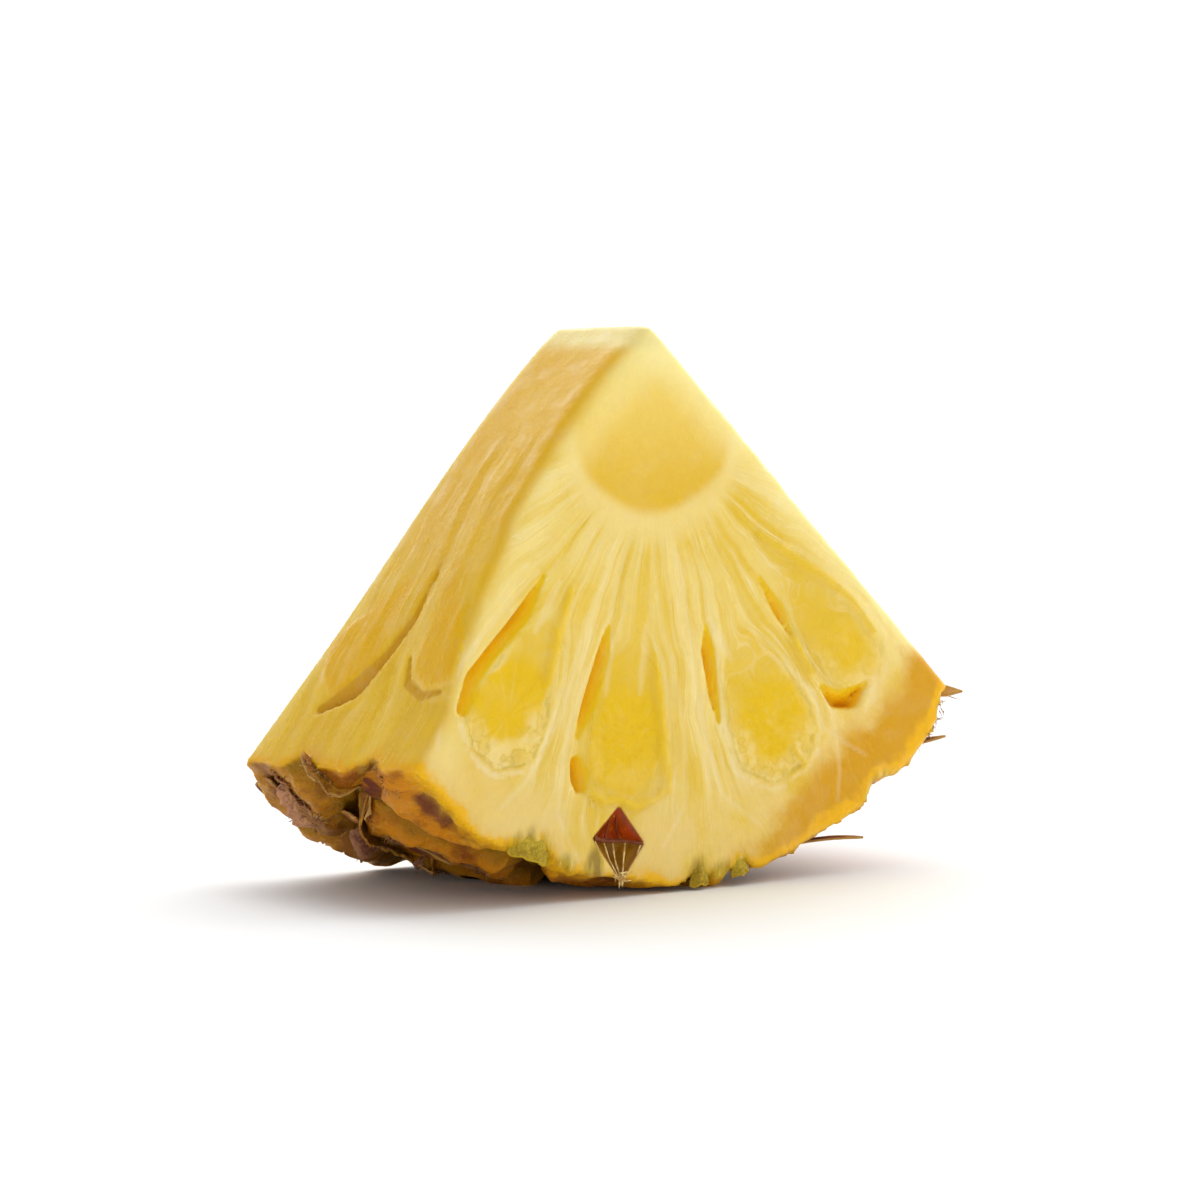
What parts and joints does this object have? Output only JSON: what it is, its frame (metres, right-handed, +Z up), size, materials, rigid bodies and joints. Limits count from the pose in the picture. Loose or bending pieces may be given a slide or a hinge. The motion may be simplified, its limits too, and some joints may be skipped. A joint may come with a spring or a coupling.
{
  "type": "pineapple wedge",
  "caption": "Wedge of fresh pineapple standing on its scaly rind, with the golden core at the top and fibrous yellow flesh on its cut faces.",
  "frame": {"origin": "on the resting surface, under the wedge's centre of mass, in the flat spot that it rests on", "axes": "+X to the right along the front cut, +Y along the fruit's axis away from the front cut, +Z up"},
  "size_m": [0.0925, 0.0447, 0.0742],
  "materials": {
    "flesh": "moist, slightly translucent yellow flesh with pale radial fibres and a smoother golden core",
    "rind": "leathery orange-brown scales with olive and dark brown grooves",
    "bract": "dry papery bracts, purple-brown with pale torn edges"
  },
  "bodies": {
    "root": {"pineapple_wedge": "flesh"}
  },
  "joints": []
}
